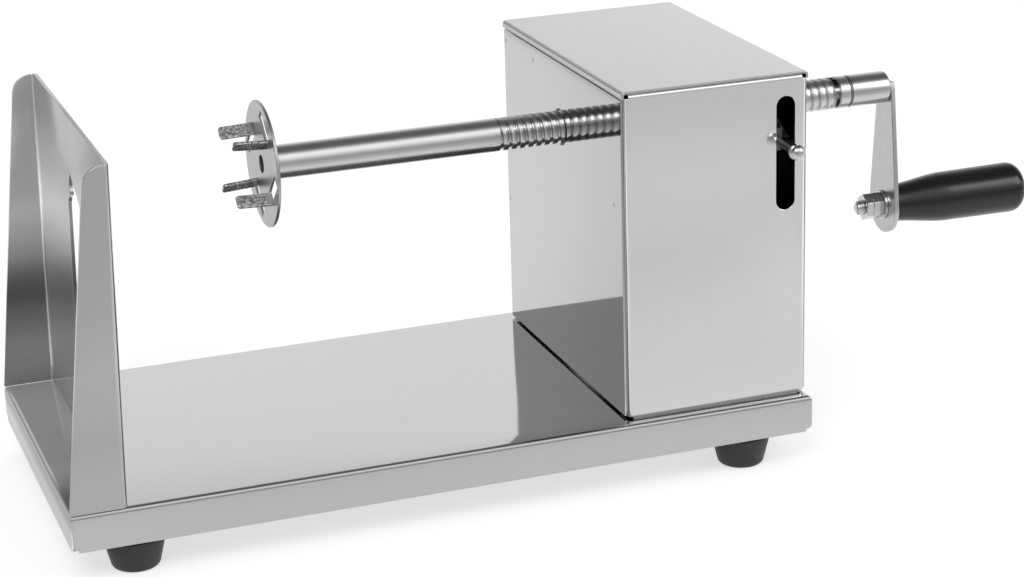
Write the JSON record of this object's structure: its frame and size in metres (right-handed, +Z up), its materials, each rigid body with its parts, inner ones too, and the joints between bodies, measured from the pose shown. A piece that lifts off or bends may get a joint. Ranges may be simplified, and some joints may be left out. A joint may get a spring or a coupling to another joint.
{
  "type": "spiral potato cutter",
  "caption": "Hand-cranked spiral potato cutter: a threaded fork shaft runs through a steel housing towards a blade stand, with a release lever and rubber feet.",
  "frame": {"origin": "middle of the whole object's bounding box on the table plane, at the underside of the feet", "axes": "+Z up, +X along the shaft towards the crank, the release pin on the -Y side"},
  "size_m": [0.4336, 0.1538, 0.162],
  "materials": {
    "polished_sheet": "mirror-polished stainless sheet with a soft haze",
    "brushed_steel": "bright turned stainless steel",
    "blade_steel": "fine ground blade steel",
    "inner_steel": "satin steel",
    "ring_steel": "dark steel",
    "bright_fasteners": "bright plated steel",
    "bearing_brass": "satin bearing brass",
    "foot_rubber": "matte black rubber",
    "grip_plastic": "smooth glossy black"
  },
  "bodies": {
    "frame": {"base_plate": "polished_sheet", "front_left_foot": "foot_rubber", "front_right_foot": "foot_rubber", "back_left_foot": "foot_rubber", "back_right_foot": "foot_rubber", "foot_studs": "bright_fasteners", "foot_washers": "bright_fasteners", "foot_nuts": "bright_fasteners", "blade_stand": "polished_sheet", "cutting_blade": "blade_steel", "blade_screws": "bright_fasteners", "blade_nuts": "bright_fasteners", "housing_front": "polished_sheet", "housing_back": "polished_sheet", "housing_left": "polished_sheet", "housing_right": "polished_sheet", "housing_lid": "polished_sheet", "housing_angles": "inner_steel", "angle_screws": "bright_fasteners", "angle_nuts": "bright_fasteners", "left_bush": "bearing_brass", "right_bush": "bearing_brass", "lever_bracket": "inner_steel", "lever_pivot": "bright_fasteners", "pivot_clip": "bright_fasteners"},
    "lever": {"release_lever": "brushed_steel", "half_nut": "bearing_brass", "nut_screws": "bright_fasteners", "release_pin": "bright_fasteners"},
    "feed_ring": {"spacer_ring": "ring_steel"},
    "shaft": {"threaded_tube": "brushed_steel", "fork_disc": "brushed_steel", "crank_hub": "brushed_steel", "crank_arm": "brushed_steel", "grip_bolt": "bright_fasteners", "grip_washers": "bright_fasteners", "grip_nut": "bright_fasteners", "lock_nut": "bright_fasteners"},
    "grip": {"grip": "grip_plastic"}
  },
  "joints": [
    {"name": "nut_release", "type": "hinge", "parent": "frame", "child": "lever", "pos_m": [0.07345, 0.0519, 0.14675], "axis": [-1, 0, 0], "range_deg": [0, 7]},
    {"name": "shaft_feed", "type": "slide", "parent": "frame", "child": "feed_ring", "axis": [-1, 0, 0], "range_m": [-0.0771, 0.0421]},
    {"name": "crank_turn", "type": "hinge", "parent": "feed_ring", "child": "shaft", "pos_m": [0.08315, 0.0039, 0.132], "axis": [-1, 0, 0], "range_deg": [-7920, 4320]},
    {"name": "grip_spin", "type": "hinge", "parent": "shaft", "child": "grip", "pos_m": [0.18315, 0.0039, 0.08], "axis": [-1, 0, 0], "continuous": true}
  ],
  "couplings": [
    {"joint": "shaft_feed", "follows": "crank_turn", "m_per_rad": 0.00055704}
  ]
}
